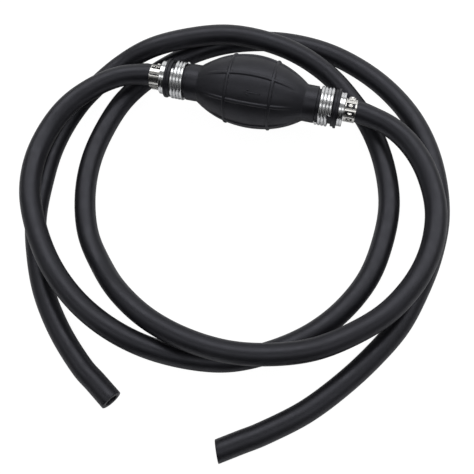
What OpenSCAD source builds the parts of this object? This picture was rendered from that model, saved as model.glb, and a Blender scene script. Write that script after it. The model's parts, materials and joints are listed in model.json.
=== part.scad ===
// Primer bulb siphon hose: a squeeze bulb with a one-way valve in each neck,
// and a loose rubber hose clamped to each end.
// +X runs along the bulb's axis from the outlet end to the inlet end, +Z is up,
// and the bulb and both hoses lie on the plane z = 0.

/* [Bulb] */
// Outer radius of the bulb at its middle, between the ribs
bulb_r = 24.6; // [22:0.2:28]
// Thickness of the bulb's rubber wall
bulb_wall_t = 3; // [2.4:0.2:4]
// Half of the length of the barrel-shaped body
body_half = 36.6; // [34:0.2:37]
// Outer radius of the two necks
neck_r = 12.4; // [11.6:0.1:12.6]
// How far the ribs stand out of the wall
rib_h = 0.8; // [0.4:0.1:1.2]
// Width of the ribs
rib_w = 2.2; // [1.4:0.2:3]
// Distance of the two round ribs from the middle
round_rib_at = 15; // [14.6:0.1:17]
// Number of planes that carry the lengthwise ribs, two ribs to a plane
rib_planes = 4; // [2:1:6]
// Turn of the first lengthwise rib away from straight up
rib_tilt = 5; // [0:1:20]

/* [Thumb panel] */
// Half length of the part of the wall that the thumb presses in
panel_half_l = 13; // [10:0.2:13]
// Half width of the part of the wall that the thumb presses in
panel_half_w = 12; // [8:0.5:14]
// Gap between the thumb panel and the wall round it
panel_gap = 0.15; // [0.1:0.05:0.3]

/* [Valves] */
// Radius of the valve body's shank inside the neck
shank_r = 8.5; // [8:0.1:9]
// Radius of the chamber that holds the valve's moving parts
chamber_r = 6; // [5.5:0.1:6.5]
// Radius of the water passage through seat and nipple
passage_r = 2.8; // [2.2:0.1:3]
// Radius of the valve body's flange
flange_r = 11.4; // [10:0.2:12]
// Radius of the sharp edges of the hose barbs
barb_r = 4.3; // [4:0.1:4.3]

/* [Clamps] */
// Thickness of the round wire in the neck clamps
wire_d = 2.15; // [1.9:0.05:2.2]
// Distance from one turn of wire to the next
wire_pitch = 2.25; // [2.25:0.05:2.3]
// Turns of wire in each neck clamp
wire_turns = 3.87; // [3:0.01:3.87]
// Thickness of the flat band in the hose clamps
band_t = 0.85; // [0.6:0.05:1]

/* [Hoses] */
// Outer diameter of the hoses
hose_od = 14; // [13:0.5:14]
// Inner diameter of the hoses
hose_id = 8; // [6:0.5:8]
// Length of the straight stretch at each free end
mouth_l = 30; // [20:1:40]

/* [Hidden] */
$fn = 64;
hose_r = hose_od / 2;
axis_z = (bulb_r + rib_h) * cos(rib_tilt);

// Stations along the axis, as distances from the middle of the bulb
waist_from = 44.6;
lip_from = 55.9;
bead_from = 57.9;
flange_from = 59.7;
nipple_from = 63.3;
cuff_to = 74.5;
shank_from = 38;
shoulder_at = 55.5;

// Radii of the neck's grooves and edges
waist_r = neck_r - 1.5;
bead_r = neck_r + 0.9;
wire_centre_r = waist_r + 0.1 + wire_d / 2;

// Valve parts
plate_from = 38.5;
plate_t = 2.5;
seal_t = 1;
disc_t = 2;
disc_r = 4.8;
stem_r = 1.5;
stem_l = 13.4;
seat_gap = 0.1;
spring_r = 2.9;
spring_wire_d = 0.6;
spring_turns = 5;

// Hose routes: the middle of each hose from the cuff to the straight end piece
outlet_route = [
    [-cuff_to, 0, axis_z], [-92, -5, 25], [-108, -16, 24], [-122, -33, 23],
    [-130, -54, 22], [-132, -78, 22], [-127, -102, 22], [-114, -126, 22],
    [-97, -147, 22], [-76, -164, 22], [-52, -176, 22], [-27, -182, 17],
    [-1, -182, 8], [25, -178, 7], [49, -167, 7], [71, -151, 7],
    [88, -131, 7], [100, -107, 7], [105, -81, 7], [105, -54, 7],
    [98, -28, 7], [86, -4, 7], [70, 16, 7], [49, 32, 12],
    [25, 40, 20], [-1, 45, 22], [-28, 45, 22], [-54, 37, 22],
    [-79, 25, 20], [-100, 12, 11], [-116, -10, 7], [-125, -34, 7],
    [-129, -60, 7], [-128, -86, 7], [-124, -113, 7], [-115, -137, 7],
    [-102, -161, 7], [-84, -183, 7], [-64, -201, 7]
];
outlet_heading = -33;
inlet_route = [
    [cuff_to, 0, axis_z], [95, -6, 25], [111, -17, 24], [124, -34, 23],
    [133, -57, 22], [134, -82, 22], [128, -106, 22], [115, -129, 22],
    [97, -147, 22], [75, -162, 22], [50, -171, 22], [24, -175, 22],
    [-3, -173, 22], [-28, -166, 22], [-51, -153, 18], [-70, -136, 10],
    [-86, -116, 7], [-96, -91, 7], [-100, -65, 7], [-98, -39, 7],
    [-91, -13, 7], [-77, 10, 7], [-59, 29, 7], [-37, 44, 7],
    [-13, 53, 7], [13, 57, 7], [40, 55, 7], [65, 47, 7],
    [88, 34, 7], [108, 16, 7], [123, -6, 7], [133, -31, 7],
    [138, -57, 7], [137, -83, 7], [132, -108, 7], [124, -133, 7],
    [111, -156, 7], [95, -178, 7], [77, -198, 7], [56, -215, 7]
];
inlet_heading = -146;
hose_sides = 12;

// Colours
rubber = [0.13, 0.13, 0.14];
hose_rubber = [0.16, 0.16, 0.17];
aluminium = [0.80, 0.81, 0.83];
steel = [0.72, 0.73, 0.75];
plastic = [0.86, 0.85, 0.80];
nitrile = [0.20, 0.20, 0.20];

// ---- Points and sweeps ----

function unit(v) = v / norm(v);

// Direction of travel at point i of a line, with a given direction at its first and last point
function heading_at(line, i, first, last) =
    i == 0 ? first : i == len(line) - 1 ? last : unit(line[i + 1] - line[i - 1]);

// One ring of points round a line at point i; its first point lies away from "down"
function ring_at(line, i, r, sides, down, first, last) =
    let (along = heading_at(line, i, first, last))
    let (side = unit(cross(down, along)))
    let (depth = cross(along, side))
    [for (k = [0 : sides - 1]) line[i] + r * (cos(360 * k / sides) * depth + sin(360 * k / sides) * side)];

// A solid tube swept along a line of points
module sweep(line, r, sides, down, first, last) {
    rings = len(line);
    points = [for (i = [0 : rings - 1]) each ring_at(line, i, r, sides, down, first, last)];
    walls = [
        for (i = [0 : rings - 2], k = [0 : sides - 1])
            let (a = i * sides + k, b = i * sides + (k + 1) % sides)
            each [[a, b, b + sides], [a, b + sides, a + sides]]
    ];
    start_cap = [for (k = [sides - 1 : -1 : 0]) k];
    end_cap = [for (k = [0 : sides - 1]) (rings - 1) * sides + k];
    polyhedron(points = points, faces = concat([start_cap], walls, [end_cap]), convexity = 10);
}

// A right-handed helix of round wire about the X axis, from a given turn angle
module helix(x_from, pitch, turns, r, wire_r, steps, sides, from_angle) {
    count = ceil(turns * steps);
    line = [
        for (i = [0 : count])
            let (turn = turns * i / count)
            let (a = from_angle + 360 * turn)
            [x_from + pitch * turn, -r * sin(a), r * cos(a)]
    ];
    slope = pitch / (2 * PI * r);
    first = unit([slope, -cos(from_angle), -sin(from_angle)]);
    end_angle = from_angle + 360 * turns;
    last = unit([slope, -cos(end_angle), -sin(end_angle)]);
    sweep(line, wire_r, sides, [1, 0, 0], first, last);
}

// ---- Placing along the bulb's axis ----

// Puts local +Z along the axis, towards the inlet for side 1 and the outlet for side -1
module on_axis(side = 1) {
    translate([0, 0, axis_z])
        rotate([0, 90 * side, 0])
            children();
}

// Turn about local Z that takes local +X to a direction which leans from straight up towards -Y
function lean(side, angle) = side > 0 ? 180 + angle : -angle;

// A round disc or ring between two stations
module ring(from, to, r_out, r_in = 0) {
    translate([0, 0, from])
        difference() {
            cylinder(r = r_out, h = to - from);
            if (r_in > 0)
                translate([0, 0, -1])
                    cylinder(r = r_in, h = to - from + 2);
        }
}

// ---- Bulb ----

// Radius of the arc that falls by "drop" over "half"
function arc_radius(half, drop) = (half * half + drop * drop) / (2 * drop);

body_arc_r = arc_radius(body_half, bulb_r - neck_r);
rib_half = body_half - 6.6;
rib_drop = body_arc_r - sqrt(body_arc_r * body_arc_r - rib_half * rib_half) + rib_h;

// A barrel with the given radius at its middle, bounded by one arc
module barrel(mid_r, arc_r, half) {
    rotate_extrude($fn = 96)
        intersection() {
            translate([mid_r - arc_r, 0])
                circle(r = arc_r, $fn = 180);
            translate([0, -half])
                square([mid_r + 1, 2 * half]);
        }
}

// The two round ribs
module round_ribs() {
    round_r = 1.6;
    wall_r = bulb_r - body_arc_r + sqrt(body_arc_r * body_arc_r - round_rib_at * round_rib_at);
    for (side = [-1, 1])
        rotate_extrude($fn = 96)
            translate([wall_r + rib_h - round_r, side * round_rib_at])
                circle(r = round_r, $fn = 24);
}

// The lengthwise ribs: a slightly fatter barrel cut into fins that fade out at both ends
module lengthwise_ribs() {
    intersection() {
        barrel(bulb_r + rib_h, arc_radius(rib_half, rib_drop), rib_half);
        for (k = [0 : rib_planes - 1])
            rotate([0, 0, lean(1, rib_tilt + 180 * k / rib_planes)])
                cube([4 * bulb_r, rib_w, 2 * body_half], center = true);
    }
}

// Neck, wire groove, lip and bead of one end
module neck() {
    ring(body_half - 2, waist_from, neck_r);
    ring(waist_from - 1, lip_from + 1, waist_r);
    ring(lip_from, flange_from, neck_r);
    ring(bead_from, flange_from, bead_r);
}

// The whole rubber wall, before the thumb panel is parted from it
module bulb_wall() {
    difference() {
        union() {
            on_axis()
                union() {
                    barrel(bulb_r, body_arc_r, body_half);
                    round_ribs();
                    lengthwise_ribs();
                }
            for (side = [-1, 1])
                on_axis(side)
                    neck();
        }
        on_axis()
            union() {
                barrel(bulb_r - bulb_wall_t, body_arc_r - bulb_wall_t, body_half);
                ring(-flange_from - 1, flange_from + 1, shank_r);
            }
    }
}

// The block that cuts the thumb panel out of the upper wall
module panel_block(gap) {
    translate([-panel_half_l + gap, -panel_half_w + gap, axis_z + 5])
        cube([2 * (panel_half_l - gap), 2 * (panel_half_w - gap), bulb_r + 5]);
}

module bulb() {
    color(rubber)
        difference() {
            bulb_wall();
            panel_block(0);
        }
}

module thumb_panel() {
    color(rubber)
        intersection() {
            bulb_wall();
            panel_block(panel_gap);
        }
}

// ---- Valves ----

// Flanged body: shank in the neck, flange outside it and barbed nipple in the hose
module valve_body(side) {
    barbs = 3;
    barb_l = 3.3;
    root_r = barb_r - 0.6;
    color(aluminium)
        on_axis(side)
            difference() {
                union() {
                    ring(shank_from, flange_from + 1, shank_r);
                    ring(flange_from, nipple_from, flange_r);
                    ring(nipple_from - 1, cuff_to - 0.4, root_r);
                    for (k = [0 : barbs - 1])
                        translate([0, 0, nipple_from + 0.7 + k * barb_l])
                            cylinder(r1 = barb_r, r2 = root_r, h = barb_l);
                }
                ring(shank_from - 1, shoulder_at, chamber_r);
                ring(shoulder_at - 1, cuff_to + 1, passage_r);
            }
}

// Disc and stem; "face" is the station of the disc's sealing side and "dir" the way the stem points
module poppet(side, face, dir) {
    color(plastic)
        on_axis(side)
            translate([0, 0, face])
                mirror([0, 0, dir < 0 ? 1 : 0]) {
                    translate([0, 0, seal_t])
                        cylinder(r = disc_r, h = disc_t);
                    cylinder(r = stem_r, h = seal_t + disc_t + stem_l);
                }
}

// Flat rubber washer on the disc's sealing side
module poppet_seal(side, face, dir) {
    color(nitrile)
        on_axis(side)
            translate([0, 0, face])
                mirror([0, 0, dir < 0 ? 1 : 0])
                    ring(0, seal_t, disc_r, stem_r);
}

// Round plate with a guide hole for the stem and flow holes round it
module spring_guide(side, from) {
    flow_holes = 5;
    flow_r = 1.3;
    color(plastic)
        on_axis(side)
            difference() {
                ring(from, from + plate_t, chamber_r, stem_r + 0.06);
                for (k = [0 : flow_holes - 1])
                    rotate([0, 0, 360 * k / flow_holes])
                        translate([(chamber_r + stem_r) / 2, 0, from - 1])
                            cylinder(r = flow_r, h = plate_t + 2);
            }
}

// Compression spring between two stations of one end
module valve_spring(side, from, to) {
    low = side > 0 ? from : -to;
    travel = to - from - spring_wire_d - 0.2;
    color(steel)
        translate([0, 0, axis_z])
            helix(low + 0.1 + spring_wire_d / 2, travel / spring_turns, spring_turns,
                  spring_r, spring_wire_d / 2, 14, 6, 0);
}

// The inlet poppet closes outwards on the shoulder, and opens towards the bulb
inlet_face = shoulder_at - seat_gap;
inlet_disc_back = inlet_face - seal_t - disc_t;
// The outlet poppet closes inwards on a seat ring, and opens towards the hose
outlet_face = plate_from + plate_t + seat_gap;
outlet_disc_back = outlet_face + seal_t + disc_t;
outlet_guide_from = shoulder_at - plate_t;

module outlet_seat_ring() {
    color(plastic)
        on_axis(-1)
            ring(plate_from, plate_from + plate_t, chamber_r, passage_r);
}

// ---- Clamps ----

// Close-wound wire round the neck's groove; the angle leans from straight up towards -Y
module wire_clamp(x_from, from_angle) {
    color(steel)
        translate([0, 0, axis_z])
            helix(x_from, wire_pitch, wire_turns, wire_centre_r, wire_d / 2, 24, 8, from_angle);
}
wire_run = wire_pitch * wire_turns;
wire_from = waist_from + 0.3 + wire_d / 2;

// Flat band with one pinched ear, a dimple in the ear and a hooked overlap.
// Both angles lean from straight up towards -Y.
module hose_clamp(side, ear_angle, hook_angle) {
    band_from = nipple_from + 0.3;
    band_w = 7.6;
    band_r = hose_r + band_t;
    ear_w = 5.6;
    ear_h = 1.6;
    hook_w = 5;
    hook_h = 0.4;
    mid = band_from + band_w / 2;
    color(steel)
        on_axis(side)
            difference() {
                union() {
                    ring(band_from, band_from + band_w, band_r);
                    rotate([0, 0, lean(side, ear_angle)])
                        translate([0, -ear_w / 2, band_from + 0.2])
                            cube([band_r + ear_h, ear_w, band_w - 0.4]);
                    rotate([0, 0, lean(side, hook_angle)])
                        translate([0, -hook_w / 2, band_from + 1])
                            cube([band_r + hook_h, hook_w, band_w - 2]);
                }
                ring(band_from - 1, band_from + band_w + 1, hose_r + 0.02);
                rotate([0, 0, lean(side, ear_angle)])
                    translate([band_r + ear_h - 0.6, 0, mid])
                        rotate([0, 90, 0])
                            cylinder(r = 1.7, h = 2);
            }
}

// ---- Hoses ----

// Straight first stretch of the hose, stretched over the barbs
module hose_cuff(side) {
    color(hose_rubber)
        on_axis(side)
            ring(nipple_from + 0.1, cuff_to, hose_r, barb_r + 0.05);
}

function compass(angle) = [cos(angle), sin(angle), 0];

module hose(route, side, heading) {
    color(hose_rubber)
        sweep(route, hose_r, hose_sides, [0, 0, -1], [side, 0, 0], compass(heading));
}

// Straight free end with its open bore
module hose_mouth(route, heading) {
    blind = 2;
    color(hose_rubber)
        translate(route[len(route) - 1])
            rotate([0, 90, heading])
                difference() {
                    cylinder(r = hose_r, h = mouth_l);
                    translate([0, 0, blind])
                        cylinder(r = hose_id / 2, h = mouth_l);
                }
}

// ---- Assembly ----

bulb();
thumb_panel();

valve_body(1);  // inlet_valve_body
poppet(1, inlet_face, -1);  // inlet_poppet
poppet_seal(1, inlet_face, -1);  // inlet_poppet_seal
valve_spring(1, plate_from + plate_t, inlet_disc_back);  // inlet_valve_spring
spring_guide(1, plate_from);  // inlet_spring_guide
wire_clamp(wire_from, 105);  // inlet_wire_clamp
hose_clamp(1, -42, 60);  // inlet_hose_clamp
hose_cuff(1);  // inlet_hose_cuff
hose(inlet_route, 1, inlet_heading);  // inlet_hose
hose_mouth(inlet_route, inlet_heading);  // inlet_hose_mouth

valve_body(-1);  // outlet_valve_body
poppet(-1, outlet_face, 1);  // outlet_poppet
poppet_seal(-1, outlet_face, 1);  // outlet_poppet_seal
valve_spring(-1, outlet_disc_back, outlet_guide_from);  // outlet_valve_spring
spring_guide(-1, outlet_guide_from);  // outlet_spring_guide
outlet_seat_ring();
wire_clamp(-wire_from - wire_run, -2);  // outlet_wire_clamp
hose_clamp(-1, 114, -20);  // outlet_hose_clamp
hose_cuff(-1);  // outlet_hose_cuff
hose(outlet_route, -1, outlet_heading);  // outlet_hose
hose_mouth(outlet_route, outlet_heading);  // outlet_hose_mouth
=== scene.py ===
"""Looks of a primer bulb siphon hose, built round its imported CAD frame.

+X runs along the bulb's axis towards the inlet and +Z is up. Everything ends up in metres. The
bulb and its fittings are laid out in millimetres, by a station x along the axis and a radius r
round it, which round_axis() turns into metres. An angle called lean is measured round that axis,
from straight up towards -Y, in degrees.
"""

import json
import math

import bmesh
import bpy
from mathutils import Matrix, Vector


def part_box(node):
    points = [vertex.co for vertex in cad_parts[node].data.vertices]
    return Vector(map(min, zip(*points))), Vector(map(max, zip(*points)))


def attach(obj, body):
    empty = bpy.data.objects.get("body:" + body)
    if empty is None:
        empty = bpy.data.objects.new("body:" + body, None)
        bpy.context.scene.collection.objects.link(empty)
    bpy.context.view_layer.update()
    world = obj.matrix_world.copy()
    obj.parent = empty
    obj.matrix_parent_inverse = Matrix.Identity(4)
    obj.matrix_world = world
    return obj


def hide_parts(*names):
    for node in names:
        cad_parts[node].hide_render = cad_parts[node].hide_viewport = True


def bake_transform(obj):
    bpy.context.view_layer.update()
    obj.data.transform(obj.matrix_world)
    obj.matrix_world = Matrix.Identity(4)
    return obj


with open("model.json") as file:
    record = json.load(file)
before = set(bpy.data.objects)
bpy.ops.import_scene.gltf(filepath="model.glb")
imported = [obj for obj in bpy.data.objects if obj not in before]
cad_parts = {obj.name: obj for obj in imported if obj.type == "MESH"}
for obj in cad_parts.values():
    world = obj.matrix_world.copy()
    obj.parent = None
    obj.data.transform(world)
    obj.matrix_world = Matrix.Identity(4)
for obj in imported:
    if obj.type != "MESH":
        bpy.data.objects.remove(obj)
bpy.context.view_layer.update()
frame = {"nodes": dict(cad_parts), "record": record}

MM = 0.001
AXIS_Z = (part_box("inlet_valve_body")[0].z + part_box("inlet_valve_body")[1].z) / 2
SIDES = {"inlet": 1, "outlet": -1}


# ---- Camera ----

def make_camera():
    """A camera above the object, tilted off straight down, swung sideways, and then turned about
    the vertical."""
    tilt, swing, turn = math.radians(20), math.radians(2.5), math.radians(13.34)
    look_at, distance, lens, sensor = Vector((0.0108, -0.0949, 0)), 0.4683, 53.16, 36
    aside, upright = math.sin(swing), math.cos(swing)
    back = Vector((aside, -math.sin(tilt) * upright, math.cos(tilt) * upright))
    up = (Vector((0, 1, 0)) - back.y * back).normalized()
    pose = Matrix((up.cross(back), up, back)).transposed().to_4x4()
    pose = Matrix.Rotation(turn, 4, "Z") @ pose
    pose.translation = look_at + distance * pose.col[2].to_3d()
    data = bpy.data.cameras.new("camera")
    data.sensor_width = sensor
    data.lens = lens
    camera = bpy.data.objects.new("camera", data)
    camera.matrix_world = pose
    bpy.context.scene.collection.objects.link(camera)
    bpy.context.scene.camera = camera


make_camera()


# ---- Materials ----

def principled(made):
    return made.node_tree.nodes["Principled BSDF"]


def new_material(name, colour, roughness, metallic=0.0):
    """A material with one Principled shader."""
    made = bpy.data.materials.new(name)
    made.use_nodes = True
    shader = principled(made)
    shader.inputs["Base Color"].default_value = (*colour, 1)
    shader.inputs["Roughness"].default_value = roughness
    shader.inputs["Metallic"].default_value = metallic
    return made


def add(made, kind, **values):
    """A node of that kind, with its inputs set by name; spaces are written as _."""
    node = made.node_tree.nodes.new(kind)
    for name, value in values.items():
        node.inputs[name.replace("_", " ")].default_value = value
    return node


def link(made, source, target):
    made.node_tree.links.new(source, target)


def noise(made, scale, detail, stretch=(1, 1, 1)):
    """Noise in object space; stretch below 1 along an axis draws it out along that axis."""
    where = add(made, "ShaderNodeTexCoord")
    spread = add(made, "ShaderNodeMapping", Scale=stretch)
    grain = add(made, "ShaderNodeTexNoise", Scale=scale, Detail=detail)
    link(made, where.outputs["Object"], spread.inputs["Vector"])
    link(made, spread.outputs["Vector"], grain.inputs["Vector"])
    return grain.outputs["Fac"]


def vary_roughness(made, source, low, high):
    """Roughness that drifts from low to high with noise."""
    ramp = add(made, "ShaderNodeMapRange", From_Min=0.3, From_Max=0.7, To_Min=low, To_Max=high)
    link(made, source, ramp.inputs["Value"])
    link(made, ramp.outputs["Result"], principled(made).inputs["Roughness"])


def bump(made, source, depth, strength=1.0):
    """Relief from noise on the shader's normal, on top of any that is there already."""
    relief = add(made, "ShaderNodeBump", Strength=strength, Distance=depth)
    link(made, source, relief.inputs["Height"])
    target = principled(made).inputs["Normal"]
    if target.links:
        link(made, target.links[0].from_socket, relief.inputs["Normal"])
    link(made, relief.outputs["Normal"], target)


def mottle(made, source, dark, light):
    """Colour that drifts from dark to light with noise."""
    ramp = add(made, "ShaderNodeValToRGB")
    for element, position, colour in zip(ramp.color_ramp.elements, (0.35, 0.68), (dark, light)):
        element.position = position
        element.color = (*colour, 1)
    link(made, source, ramp.inputs["Fac"])
    link(made, ramp.outputs["Color"], principled(made).inputs["Base Color"])


def rubber(name, dark, light, rough, grain_depth):
    """Moulded rubber: colour and gloss that drift, fine grain, and low waves."""
    colour_scale, gloss_scale, grain_scale, wave_scale = 55, 160, 1500, 210
    made = new_material(name, dark, rough)
    principled(made).inputs["Specular Tint"].default_value = (0.96, 0.97, 1.10, 1)
    mottle(made, noise(made, colour_scale, 4), dark, light)
    vary_roughness(made, noise(made, gloss_scale, 3), rough - 0.05, rough + 0.06)
    bump(made, noise(made, grain_scale, 3), grain_depth)
    bump(made, noise(made, wave_scale, 2), 2 * grain_depth, strength=0.6)
    return made


def metal(name, colour, rough, line_scale, line_depth, stretch=(1, 1, 1)):
    """Bright metal with fine lines, which run along the axes where stretch is below 1."""
    gloss_scale, colour_scale, darkest = 90, 240, 0.9
    made = new_material(name, colour, rough, metallic=1.0)
    vary_roughness(made, noise(made, gloss_scale, 3), rough - 0.04, rough + 0.07)
    bump(made, noise(made, line_scale, 2, stretch), line_depth)
    mottle(made, noise(made, colour_scale, 3), [darkest * c for c in colour], colour)
    return made


def plastic(name, middle, dark, light, rough):
    """Moulded plastic: colour that drifts, and a fine grain."""
    colour_scale, grain_scale, grain_depth = 120, 900, 0.00001
    made = new_material(name, middle, rough)
    mottle(made, noise(made, colour_scale, 3), dark, light)
    bump(made, noise(made, grain_scale, 2), grain_depth)
    return made


BLACK, BLACK_LIGHT = (0.0050, 0.0050, 0.0062), (0.0090, 0.0090, 0.0112)
SEAL, SEAL_LIGHT = (0.02, 0.02, 0.02), (0.03, 0.03, 0.03)
BRIGHT, BAND, SPRING = (0.86, 0.87, 0.88), (0.78, 0.77, 0.74), (0.60, 0.61, 0.63)
CREAM, CREAM_DARK, CREAM_LIGHT = (0.80, 0.79, 0.73), (0.76, 0.74, 0.67), (0.83, 0.82, 0.77)
MATERIALS = {slot: make(slot, *values) for slot, make, *values in (
    ("bulb_rubber", rubber, BLACK, BLACK_LIGHT, 0.44, 0.00005),
    ("hose_rubber", rubber, BLACK, BLACK_LIGHT, 0.43, 0.00003),
    ("seal_rubber", rubber, SEAL, SEAL_LIGHT, 0.5, 0.00002),
    ("aluminium", metal, BRIGHT, 0.16, 2600, 0.0000003, (1, 0.05, 0.05)),
    ("wire_steel", metal, BRIGHT, 0.20, 900, 0.0000001, (0.3, 1, 1)),
    ("clamp_steel", metal, BAND, 0.18, 2200, 0.0000003, (1, 0.06, 0.06)),
    ("spring_steel", metal, SPRING, 0.25, 900, 0.00001),
    ("valve_plastic", plastic, CREAM, CREAM_DARK, CREAM_LIGHT, 0.42),
)}


# ---- Mesh helpers ----

def make_piece(name, verts, faces, slot, *replaced, body="root"):
    """A smooth mesh object that stands for the CAD nodes named. It rides on a body, unless body
    is None, when it rides on none."""
    mesh = bpy.data.meshes.new(name)
    mesh.from_pydata(verts, [], faces)
    work = bmesh.new()
    work.from_mesh(mesh)
    bmesh.ops.recalc_face_normals(work, faces=work.faces)
    work.to_mesh(mesh)
    work.free()
    mesh.polygons.foreach_set("use_smooth", [True] * len(mesh.polygons))
    mesh.materials.append(MATERIALS[slot])
    made = bpy.data.objects.new(name, mesh)
    bpy.context.scene.collection.objects.link(made)
    if body:
        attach(made, body)
    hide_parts(*replaced)
    return made


def points_of(rings):
    return [v for ring in rings for v in ring]


def bridge(rings, closed=False, first=0):
    """Quads between rings of points that all have the same count; closed joins last and first.
    The points are numbered from first."""
    count = len(rings[0])
    faces = []
    for i in range(len(rings) if closed else len(rings) - 1):
        a, b = first + i * count, first + (i + 1) % len(rings) * count
        for k in range(count):
            n = (k + 1) % count
            faces.append((a + k, a + n, b + n, b + k))
    return faces


def smooth(t):
    """0 up to t = 0 and 1 from t = 1 on, with an even swing between them."""
    t = min(max(t, 0.0), 1.0)
    return t * t * (3 - 2 * t)


def round_axis(x, r, lean):
    """The point at station x and radius r, in millimetres, round the bulb's axis."""
    a = math.radians(lean)
    return Vector((x * MM, -r * MM * math.sin(a), AXIS_Z + r * MM * math.cos(a)))


def soften(outline, radius):
    """A closed outline of (x, r) with each corner cut to an arc of up to that radius.
    A point close to each end of an arc keeps the flats beside it flat."""
    steps, share_of_side, guard = 3, 0.42, 0.15
    made = []
    for i, here in enumerate(outline):
        p, a, b = Vector(here), Vector(outline[i - 1]), Vector(outline[(i + 1) % len(outline)])
        cut = min(radius, (a - p).length * share_of_side, (b - p).length * share_of_side)
        to_a, to_b = (a - p).normalized() * cut, (b - p).normalized() * cut
        start, end = p + to_a, p + to_b
        made.append(start + to_a * guard)
        for k in range(steps + 1):
            t = k / steps
            made.append((1 - t) ** 2 * start + 2 * t * (1 - t) * p + t * t * end)
        made.append(end + to_b * guard)
    return [tuple(v) for v in made]


def lathe(name, outline, side, slot, *replaced):
    """A closed outline of (x, r) turned round the bulb's axis; side -1 mirrors it to the outlet."""
    around = 96
    rings = [[round_axis(side * x, r, 360 * k / around) for k in range(around)] for x, r in outline]
    make_piece(name, points_of(rings), bridge(rings, closed=True), slot, *replaced)


def tube_rings(line, radii, sides):
    """Rings round a line of points, carried along it without twist."""
    last = len(line) - 1
    ahead = [(line[min(i + 1, last)] - line[max(i - 1, 0)]).normalized() for i in range(last + 1)]
    out = ahead[0].orthogonal().normalized()
    rings = []
    for p, t, r in zip(line, ahead, radii):
        out = (out - out.dot(t) * t).normalized()
        beside = t.cross(out)
        turns = [2 * math.pi * k / sides for k in range(sides)]
        rings.append([p + r * (math.cos(a) * out + math.sin(a) * beside) for a in turns])
    return rings


def end_caps(count, sides, first):
    """One face over the first and one over the last of count rings, numbered from first."""
    last = first + (count - 1) * sides
    return [tuple(first + k for k in reversed(range(sides))), tuple(last + k for k in range(sides))]


def solid_tube(line, radii, sides, first=0):
    """Points and faces of a tube with flat round ends. Its points are numbered from first."""
    rings = tube_rings(line, radii, sides)
    return points_of(rings), bridge(rings, first=first) + end_caps(len(rings), sides, first)


def coil(x_from, pitch, turns, r, from_lean, steps):
    """Points of a right-handed helix round the bulb's axis, with that many steps to a turn."""
    count = round(steps * turns)
    run = [turns * i / count for i in range(count + 1)]
    return [round_axis(x_from + pitch * turn, r, from_lean + 360 * turn) for turn in run]


# ---- Hoses ----

HOSE_R = 0.007
BORE_R = 0.004
MOUTH_L = 0.030
FLANGE_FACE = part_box("inlet_hose_cuff")[0].x
OUTLET_ROUTE = [
    (-0.0745, 0, AXIS_Z), (-0.092, -0.005, 0.025), (-0.108, -0.016, 0.024),
    (-0.122, -0.033, 0.023), (-0.130, -0.054, 0.022), (-0.132, -0.078, 0.022),
    (-0.127, -0.102, 0.022), (-0.114, -0.126, 0.022), (-0.097, -0.147, 0.022),
    (-0.076, -0.164, 0.022), (-0.052, -0.176, 0.022), (-0.027, -0.182, 0.017),
    (-0.001, -0.182, 0.008), (0.025, -0.178, 0.007), (0.049, -0.167, 0.007),
    (0.071, -0.151, 0.007), (0.088, -0.131, 0.007), (0.100, -0.107, 0.007),
    (0.105, -0.081, 0.007), (0.105, -0.054, 0.007), (0.098, -0.028, 0.007),
    (0.086, -0.004, 0.007), (0.070, 0.016, 0.007), (0.049, 0.032, 0.012),
    (0.025, 0.040, 0.020), (-0.001, 0.045, 0.022), (-0.028, 0.045, 0.022),
    (-0.054, 0.037, 0.022), (-0.079, 0.025, 0.020), (-0.100, 0.012, 0.011),
    (-0.116, -0.010, 0.007), (-0.125, -0.034, 0.007), (-0.129, -0.060, 0.007),
    (-0.128, -0.086, 0.007), (-0.124, -0.113, 0.007), (-0.115, -0.137, 0.007),
    (-0.102, -0.161, 0.007), (-0.084, -0.183, 0.007), (-0.064, -0.201, 0.007),
]
INLET_ROUTE = [
    (0.0745, 0, AXIS_Z), (0.095, -0.006, 0.025), (0.111, -0.017, 0.024),
    (0.124, -0.034, 0.023), (0.133, -0.057, 0.022), (0.134, -0.082, 0.022),
    (0.128, -0.106, 0.022), (0.115, -0.129, 0.022), (0.097, -0.147, 0.022),
    (0.075, -0.162, 0.022), (0.050, -0.171, 0.022), (0.024, -0.175, 0.022),
    (-0.003, -0.173, 0.022), (-0.028, -0.166, 0.022), (-0.051, -0.153, 0.018),
    (-0.070, -0.136, 0.010), (-0.086, -0.116, 0.007), (-0.096, -0.091, 0.007),
    (-0.100, -0.065, 0.007), (-0.098, -0.039, 0.007), (-0.091, -0.013, 0.007),
    (-0.077, 0.010, 0.007), (-0.059, 0.029, 0.007), (-0.037, 0.044, 0.007),
    (-0.013, 0.053, 0.007), (0.013, 0.057, 0.007), (0.040, 0.055, 0.007),
    (0.065, 0.047, 0.007), (0.088, 0.034, 0.007), (0.108, 0.016, 0.007),
    (0.123, -0.006, 0.007), (0.133, -0.031, 0.007), (0.138, -0.057, 0.007),
    (0.137, -0.083, 0.007), (0.132, -0.108, 0.007), (0.124, -0.133, 0.007),
    (0.111, -0.156, 0.007), (0.095, -0.178, 0.007), (0.077, -0.198, 0.007),
    (0.056, -0.215, 0.007),
]


def curve_through(points, step):
    """Points along a Catmull-Rom curve through the given ones, about a step apart."""
    points = [2 * points[0] - points[1], *points, 2 * points[-1] - points[-2]]
    line = []
    for a, b, c, d in zip(points, points[1:], points[2:], points[3:]):
        parts = max(1, round((c - b).length / step))
        for k in range(parts):
            t = k / parts
            line.append(0.5 * (2 * b + (c - a) * t + (2 * a - 5 * b + 4 * c - d) * t * t
                               + (3 * b - a - 3 * c + d) * t ** 3))
    return line + [points[-2]]


def runs_along(line):
    """The length of the line up to each of its points."""
    runs = [0.0]
    for a, b in zip(line, line[1:]):
        runs.append(runs[-1] + (b - a).length)
    return runs


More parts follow.
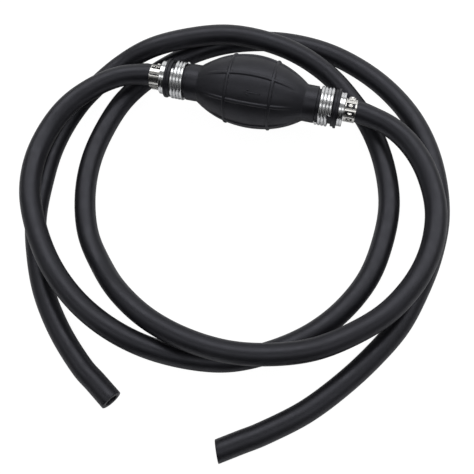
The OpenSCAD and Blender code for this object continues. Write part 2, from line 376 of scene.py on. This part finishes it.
def hose_r(run):
    """The outer radius, with a low swelling just past the clamp that fades along the hose."""
    height, rise_from, rise_l, fade_to, fade_l = 0.0004, 0.0070, 0.002, 0.022, 0.012
    return HOSE_R + height * smooth((run - rise_from) / rise_l) * smooth((fade_to - run) / fade_l)


def bore_r(run):
    """The bore's radius, stretched where it sits on the barbs."""
    stretch, barbs_l = 0.00035, 0.011
    return BORE_R + (stretch if run < barbs_l else 0)


def cut_rings(ring, middle, ahead, cuts):
    """Copies of a hose's last ring: each is a share of its size and a little back from the cut."""
    return [[middle + (v - middle) * share - ahead * back for v in ring] for share, back in cuts]


def hose(end, side, route, heading, slant):
    """One hose, bored from end to end. Its free end points at a heading, from +X towards +Y in
    degrees, and is cut off with a slant, the tangent of the angle that the cut is off square."""
    step, sides, slant_l = 0.0033, 40, 0.012
    ahead = Vector((math.cos(math.radians(heading)), math.sin(math.radians(heading)), 0))
    beside = Vector((-ahead.y, ahead.x, 0))
    points = [Vector((side * FLANGE_FACE, 0, AXIS_Z)), *(Vector(p) for p in route)]
    points += [points[-1] + ahead * MOUTH_L * k / 2 for k in (1, 2)]
    line = curve_through(points, step)
    for p in line:
        p.z = max(p.z, HOSE_R)
    tip = line[-1]
    runs = runs_along(line)
    outer = tube_rings(line, [hose_r(run) for run in runs], sides)
    inner = tube_rings(line, [bore_r(run) for run in runs], sides)
    lip = cut_rings(outer[-1], tip, ahead, [(1, 0.00035), (0.985, 0.0001), (0.955, 0)])
    rim = cut_rings(inner[-1], tip, ahead, [(1.09, 0), (1.02, 0.0001), (1, 0.0004)])
    rings = outer[:-1] + lip + rim + inner[-2::-1]
    verts = []
    for v in points_of(rings):
        near_tip = (v - tip).length < MOUTH_L
        share = smooth(1 - (tip - v).dot(ahead) / slant_l) if near_tip else 0
        verts.append(v + ahead * slant * share * (v - tip).dot(beside))
    made = make_piece(f"{end}_siphon_hose", verts, bridge(rings, closed=True), "hose_rubber",
                      f"{end}_hose_cuff", f"{end}_hose", f"{end}_hose_mouth")


hose("outlet", -1, OUTLET_ROUTE, heading=-33, slant=0.0)
hose("inlet", 1, INLET_ROUTE, heading=-146, slant=0.2)


# ---- Bulb ----

BULB_R_MM, WALL_MM, RIB_H_MM = 24.6, 3.0, 0.8
BODY_HALF_MM, ROUND_RIB_MM, RIB_HALF_MM = 36.6, 15.0, 30.0
NECK_R_MM, WAIST_R_MM, BEAD_R_MM, SHANK_R_MM = 12.4, 10.9, 13.3, 8.5
WAIST_MM, LIP_MM, BEAD_MM, FLANGE_MM = 44.6, 55.9, 57.9, 59.7
RIBS, RIB_TILT = 8, 5
# Distances from a rib's middle at which the skin has points
DENSE = [-1.9, -1.5, -1.3, -1.1, -0.9, -0.75, -0.6, -0.3, 0,
         0.3, 0.6, 0.75, 0.9, 1.1, 1.3, 1.5, 1.9]


def body_r(x):
    """Radius of the barrel at x: an arc that falls from its middle to the necks."""
    drop = BULB_R_MM - NECK_R_MM
    arc_r = (BODY_HALF_MM * BODY_HALF_MM + drop * drop) / (2 * drop)
    return BULB_R_MM - (arc_r - math.sqrt(arc_r * arc_r - x * x))


def ridge(d):
    """Cross-section of a rib, 1 at its crown and 0 from its foot out, with d from its middle."""
    flat, foot, crowning = 0.62, 1.35, 0.12
    crown = 1 - crowning * min(abs(d) / flat, 1.0) ** 2
    return crown * (1 - smooth((abs(d) - flat) / (foot - flat)))


def rib_height(x, lean):
    """Height of the ribs over the bulb's wall. The lengthwise ones sink into it at both ends."""
    round_rib = 1.1 * RIB_H_MM * ridge(abs(x) - ROUND_RIB_MM)
    if abs(x) >= RIB_HALF_MM:
        return round_rib
    share = 1 - (abs(x) / RIB_HALF_MM) ** 4
    off = (lean - RIB_TILT + 180 / RIBS) % (360 / RIBS) - 180 / RIBS
    along = RIB_H_MM * share * ridge(math.radians(off) * body_r(x))
    return max(round_rib, along)


def bulb_point(x, r, lean):
    """A point of the soft barrel, which bows a little towards +Y between its two necks."""
    bow_mm = 1.1
    share = math.cos(math.pi * x / (2 * WAIST_MM)) ** 2 if abs(x) < WAIST_MM else 0.0
    return round_axis(x, r, lean) + Vector((0, bow_mm * MM * share, 0))


def barrel_stations(half):
    """Sorted x along the barrel, close together on the round ribs and a coarse step elsewhere."""
    coarse_step = 1.6
    clear = DENSE[-1] + 0.3 * coarse_step
    middles = (-ROUND_RIB_MM, ROUND_RIB_MM)
    count = round(2 * half / coarse_step)
    coarse = [-half + 2 * half * k / count for k in range(count + 1)]
    far = [x for x in coarse if all(abs(x - m) > clear for m in middles)]
    return sorted([m + d for m in middles for d in DENSE] + far)


def bulb_leans():
    """Angles round the bulb, close together on the lengthwise ribs."""
    steps_between = 12
    near = [math.degrees(d / BULB_R_MM) for d in DENSE]
    gap = 360 / RIBS - 2 * near[-1]
    leans = []
    for k in range(RIBS):
        middle = RIB_TILT + 360 / RIBS * k
        leans += [middle + d for d in near]
        leans += [middle + near[-1] + gap * j / steps_between for j in range(1, steps_between)]
    return leans


def bulb_skin():
    """The barrel with its ribs, a neck with a waist for the wire at each end, and the hollow."""
    barrel_half, inner_half = BODY_HALF_MM - 0.5, BODY_HALF_MM - 1.5
    edge_r, inner_steps = 0.45, 40
    neck = soften([
        (BODY_HALF_MM, NECK_R_MM), (WAIST_MM, NECK_R_MM), (WAIST_MM, WAIST_R_MM),
        (LIP_MM, WAIST_R_MM), (LIP_MM, NECK_R_MM), (BEAD_MM, NECK_R_MM), (BEAD_MM, BEAD_R_MM),
        (FLANGE_MM, BEAD_R_MM), (FLANGE_MM, SHANK_R_MM), (BODY_HALF_MM, SHANK_R_MM)], edge_r)
    # Where the neck joins the barrel, its own corners give way to a fillet outside and to the
    # wall of the hollow inside
    neck = [(x, r) for x, r in neck if x > BODY_HALF_MM + 0.5 or r < SHANK_R_MM + 0.5]
    neck = [(x, r) for x, r in neck if r > SHANK_R_MM + 0.01 or x > BODY_HALF_MM + 1]
    fillet = [(BODY_HALF_MM - 0.2, body_r(barrel_half) - 0.18),
              (BODY_HALF_MM + 0.3, NECK_R_MM + 0.01)]
    outside = [(x, body_r(x), True) for x in barrel_stations(barrel_half)]
    right = [(x, r, False) for x, r in fillet + neck]
    inside = []
    for k in range(inner_steps + 1):
        x = inner_half - 2 * inner_half * k / inner_steps
        inside.append((x, max(body_r(x) - WALL_MM, SHANK_R_MM), False))
    left = [(-x, r, ribbed) for x, r, ribbed in reversed(right)]
    leans = bulb_leans()
    rings = []
    for x, r, ribbed in outside + right + inside + left:
        rings.append([bulb_point(x, r + (rib_height(x, a) if ribbed else 0), a) for a in leans])
    dent(make_piece("bulb_skin", points_of(rings), bridge(rings, closed=True), "bulb_rubber",
                    "bulb", "thumb_panel", body=None))


def dent(piece):
    """Bakes the piece's placement into its mesh; the wall is left as it is."""
    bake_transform(piece)


def flow_arrow():
    """A raised arrow between two lengthwise ribs, from the inlet end towards the outlet end."""
    middle_lean, bar_r, sunk, tip, tail = 33.0, 0.42, 0.1, -2.2, 8.4
    barb_x, barb_y, steps, sides = tip + 3.0, 1.8, 8, 12
    strokes = [[(tail, 0), (tip, 0)], [(barb_x, barb_y), (tip, 0), (barb_x, -barb_y)]]
    verts, faces = [], []
    for stroke in strokes:
        line = []
        for (x0, y0), (x1, y1) in zip(stroke, stroke[1:]):
            for k in range(steps):
                t = k / steps
                line.append((x0 + (x1 - x0) * t, y0 + (y1 - y0) * t))
        line.append(stroke[-1])
        path = [bulb_point(x, body_r(x) - sunk, middle_lean + math.degrees(y / BULB_R_MM))
                for x, y in line]
        more, quads = solid_tube(path, [bar_r * MM] * len(path), sides, first=len(verts))
        verts += more
        faces += quads
    dent(make_piece("bulb_flow_arrow", verts, faces, "bulb_rubber", body=None))


bulb_skin()
flow_arrow()


# ---- Wire clamps ----

def wire_clamp(end, from_lean):
    """Close-wound round wire with its cut ends slightly broken."""
    wire_r, centre_r, turns, pitch, steps, sides = 1.075, 12.075, 3.87, 2.25, 60, 20
    broken_l, broken_r = 0.12, 0.86
    x_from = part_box(f"{end}_wire_clamp")[0].x / MM + wire_r
    line = coil(x_from, pitch, turns, centre_r, from_lean, steps)
    line = [line[0], line[0].lerp(line[1], broken_l), *line[1:-1],
            line[-1].lerp(line[-2], broken_l), line[-1]]
    radii = [wire_r * MM] * len(line)
    radii[0] = radii[-1] = broken_r * wire_r * MM
    verts, faces = solid_tube(line, radii, sides)
    make_piece(f"{end}_neck_wire", verts, faces, "wire_steel", f"{end}_wire_clamp")


wire_clamp("inlet", 105)
wire_clamp("outlet", -2)


# ---- Valve bodies and springs ----

def valve_body(end, side):
    """Turned aluminium: shank, flange with a shallow groove, and barbed nipple."""
    shank_from, shoulder, flange_to, tip = 38.0, 55.5, 63.3, 74.1
    flange_r, chamber_r, passage_r, edge_r, gap = 11.4, 6.0, 2.8, 0.3, 0.02
    groove, groove_half, groove_depth = 61.5, 0.25, 0.2
    barbs, barbs_after, barb_r, root_r, barb_l = 3, 0.7, 4.3, 3.7, 3.3
    face, shank_r = FLANGE_MM + gap, SHANK_R_MM - gap
    outline = [(shank_from, shank_r), (face, shank_r), (face, flange_r),
               (groove - groove_half, flange_r), (groove, flange_r - groove_depth),
               (groove + groove_half, flange_r), (flange_to, flange_r), (flange_to, root_r)]
    for k in range(barbs):
        at = flange_to + barbs_after + k * barb_l
        outline += [(at, root_r), (at, barb_r), (at + barb_l - gap, root_r)]
    outline += [(tip, root_r), (tip, passage_r), (shoulder, passage_r), (shoulder, chamber_r),
                (shank_from, chamber_r)]
    lathe(f"{end}_turned_body", soften(outline, edge_r), side, "aluminium", f"{end}_valve_body")


def valve_spring(end):
    """A coil that its poppet presses short against the fixed guide, which is at its lower X."""
    wire_r, centre_r, turns, steps, sides = 0.3, 2.9, 5, 24, 12
    low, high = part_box(f"{end}_valve_spring")
    pitch = ((high.x - low.x) / MM - 2 * wire_r) / turns
    line = coil(low.x / MM + wire_r, pitch, turns, centre_r, 0, steps)
    verts, faces = solid_tube(line, [wire_r * MM] * len(line), sides)
    made = make_piece(f"{end}_coil_spring", verts, faces, "spring_steel",
                      f"{end}_valve_spring", body=None)
    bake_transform(made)


for end, side in SIDES.items():
    valve_body(end, side)
for end in SIDES:
    valve_spring(end)


# ---- Hose clamps ----

# The ear's frame, boss and dimple. Each has a height, how far it reaches from the ear's middle
# and the width of its edge in degrees round the band, and the same two as shares of the band's
# width across it. The frame is as wide as the band.
EAR_SHAPE = [(0.5, 30, 4, 2, 1), (1.3, 23, 7, 0.37, 0.12), (-1.1, 10, 7, 0.20, 0.16)]


def turn_from(lean, at):
    """The angle from at to lean, from -180 to 180 degrees."""
    return (lean - at + 180) % 360 - 180


def ear_height(v, off):
    """Height of the ear over the band, at a share v of its width and an angle off its middle."""
    return sum(height * smooth((reach - abs(off)) / edge) * smooth((half - abs(v - 0.5)) / fade)
               for height, reach, edge, half, fade in EAR_SHAPE)


def hose_clamp(end, ear_lean, seam_lean, windows):
    """A flat band with an ear, which has a dimpled boss, windows with a hook in each, and the
    slot where its two ends meet. A window is its middle and half its extent round the band, in
    degrees, and where it starts and ends across it, as shares of the band's width."""
    inner_r, band_t, around, across = 7.03, 0.55, 240, 24
    slot = (seam_lean, 3.5, 0.06, 0.94)
    low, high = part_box(f"{end}_hose_clamp")
    x_from, width = low.x / MM, high.x / MM - low.x / MM

    cells = [[True] * around for _ in range(across)]
    for at, half_lean, v_from, v_to in [*windows, slot]:
        for j in range(across):
            for k in range(around):
                inside = abs(turn_from(360 * (k + 0.5) / around, at)) < half_lean
                if inside and v_from <= (j + 0.5) / across <= v_to:
                    cells[j][k] = False

    outer_sheet, inner_sheet = 0, (across + 1) * around
    verts, faces = [], []
    for height in (band_t, 0):
        for j in range(across + 1):
            for k in range(around):
                lean, v = 360 * k / around, j / across
                r = inner_r + height + ear_height(v, turn_from(lean, ear_lean))
                verts.append(round_axis(x_from + v * width, r, lean))

    def corner(sheet, j, k):
        return sheet + j * around + k % around

    for j in range(across):
        for k in range(around):
            if not cells[j][k]:
                continue
            square = [(j, k), (j, k + 1), (j + 1, k + 1), (j + 1, k)]
            faces.append(tuple(corner(outer_sheet, *p) for p in square))
            faces.append(tuple(corner(inner_sheet, *p) for p in reversed(square)))
            beyond = [(j - 1, k), (j, k + 1), (j + 1, k), (j, k - 1)]
            for (nj, nk), p, q in zip(beyond, square, square[1:] + square[:1]):
                if not 0 <= nj < across or not cells[nj][nk % around]:
                    faces.append((corner(outer_sheet, *q), corner(outer_sheet, *p),
                                  corner(inner_sheet, *p), corner(inner_sheet, *q)))

    for at, half_lean, v_from, v_to in windows:
        hook(verts, faces, x_from + (v_from + v_to) / 2 * width, inner_r + 0.05, at,
             half_x=0.27 * (v_to - v_from) * width + 0.2,
             half_turn=0.1 + 0.045 * half_lean * half_lean)
    made = make_piece(f"{end}_ear_clamp", verts, faces, "clamp_steel", f"{end}_hose_clamp")
    edge = made.modifiers.new("edges", "BEVEL")
    edge.width = 0.00012
    edge.segments = 2
    edge.limit_method = "ANGLE"
    edge.angle_limit = math.radians(50)


def hook(verts, faces, x, r, lean, half_x, half_turn):
    """A rounded tab that stands up inside a window, higher at the side it is bent from. Each of
    its levels is a height and a share of its size."""
    levels, slant, sides = [(0, 1), (0.45, 1), (0.75, 0.86), (0.85, 0.55), (0.7, 0.28)], 0.28, 16
    turns = [2 * math.pi * k / sides for k in range(sides)]
    rings = []
    for up, share in levels:
        rings.append([round_axis(x + half_x * share * math.cos(turn),
                                 r + up + slant * up * (1 + math.sin(turn)),
                                 lean + half_turn * share * math.sin(turn)) for turn in turns])
    faces += bridge(rings, first=len(verts)) + end_caps(len(rings), sides, len(verts))
    verts += points_of(rings)


hose_clamp("inlet", ear_lean=-42, seam_lean=-90,
           windows=[(5, 15, 0.08, 0.86), (45, 10, 0.1, 0.88), (83, 10, 0.24, 0.78)])
hose_clamp("outlet", ear_lean=114, seam_lean=26,
           windows=[(-18, 12, 0.12, 0.44), (-18, 12, 0.54, 0.9), (-64, 9, 0.2, 0.8)])


# ---- CAD nodes that show as they are ----

SLOT_OF = {part["node"]: part["material_slot"] for part in frame["record"]["subparts"]}
for name, node in frame["nodes"].items():
    if not node.hide_render:
        node.data.materials.clear()
        node.data.materials.append(MATERIALS[SLOT_OF[name]])


# ---- Floor, backdrop and light ----

STAGE_SIZE, WHITE = 7.0, (1, 1, 1, 1)


def flat_piece(name, size, place, material, turn=(0, 0, 0)):
    """A square sheet that belongs to the stage, turned by angles in degrees."""
    mesh = bpy.data.meshes.new(name)
    h = size / 2
    mesh.from_pydata([(-h, -h, 0), (h, -h, 0), (h, h, 0), (-h, h, 0)], [], [(0, 1, 2, 3)])
    mesh.materials.append(material)
    made = bpy.data.objects.new(name, mesh)
    made.location = place
    made.rotation_euler = [math.radians(a) for a in turn]
    bpy.context.scene.collection.objects.link(made)
    return made


def glowing(name, grey, roughness, strength):
    """A matt material that glows white."""
    made = new_material(name, (grey, grey, grey), roughness)
    principled(made).inputs["Emission Color"].default_value = WHITE
    principled(made).inputs["Emission Strength"].default_value = strength
    return made


def unseen_by(obj, *kinds):
    """Hides an object from those kinds of rays."""
    for kind in kinds:
        setattr(obj, "visible_" + kind, False)


def backdrop():
    """A white shell that only the camera sees, so that side views have a plain background."""
    material = glowing("backdrop_white", 0, 1.0, 1.0)
    principled(material).inputs["Specular IOR Level"].default_value = 0
    mesh = bpy.data.meshes.new("backdrop")
    work = bmesh.new()
    bmesh.ops.create_icosphere(work, subdivisions=4, radius=4.0)
    work.to_mesh(mesh)
    work.free()
    mesh.materials.append(material)
    shell = bpy.data.objects.new("backdrop", mesh)
    bpy.context.scene.collection.objects.link(shell)
    unseen_by(shell, "diffuse", "glossy", "transmission", "shadow", "volume_scatter")


def area_light(name, place, look_at, size, power):
    data = bpy.data.lights.new(name, "AREA")
    data.shape = "RECTANGLE"
    data.size, data.size_y = size
    data.energy = power
    lamp = bpy.data.objects.new(name, data)
    lamp.location = place
    lamp.rotation_mode = "QUATERNION"
    lamp.rotation_quaternion = (Vector(look_at) - Vector(place)).to_track_quat("-Z", "Y")
    bpy.context.scene.collection.objects.link(lamp)


floor = flat_piece("floor", STAGE_SIZE, (0, 0, -0.0002), glowing("floor_white", 0.12, 0.9, 0.97))
unseen_by(floor, "diffuse", "glossy", "shadow")
# What the object mirrors and is lit by from below is a duller table than the one the camera sees
table_grey = new_material("table_grey", (0.88, 0.88, 0.89), 0.8)
unseen_by(flat_piece("table_top", STAGE_SIZE, (0, 0, -0.0004), table_grey), "camera")
backdrop()
area_light("back_box", place=(0, 0.49, 1.0), look_at=(0, 0, 0), size=(2.6, 0.66), power=11.0)
area_light("front_box", place=(0, -0.54, 1.0), look_at=(0, 0, 0), size=(2.6, 0.26), power=2.8)
area_light("back_wall", place=(0, 1.7, 0.55), look_at=(0, 0, 0.2), size=(3.2, 1.0), power=6.0)
# A dark card in front, which the metal and the rubber mirror at their front edges
card_black = new_material("card_black", (0.02, 0.02, 0.02), 0.9)
unseen_by(flat_piece("dark_card", 3.0, (0, -1.9, 0.0), card_black, turn=(90, 0, 0)), "camera")

world = bpy.data.worlds.new("studio")
world.use_nodes = True
world.node_tree.nodes["Background"].inputs["Color"].default_value = WHITE
world.node_tree.nodes["Background"].inputs["Strength"].default_value = 0.20
bpy.context.scene.world = world
bpy.context.scene.view_settings.view_transform = "Standard"
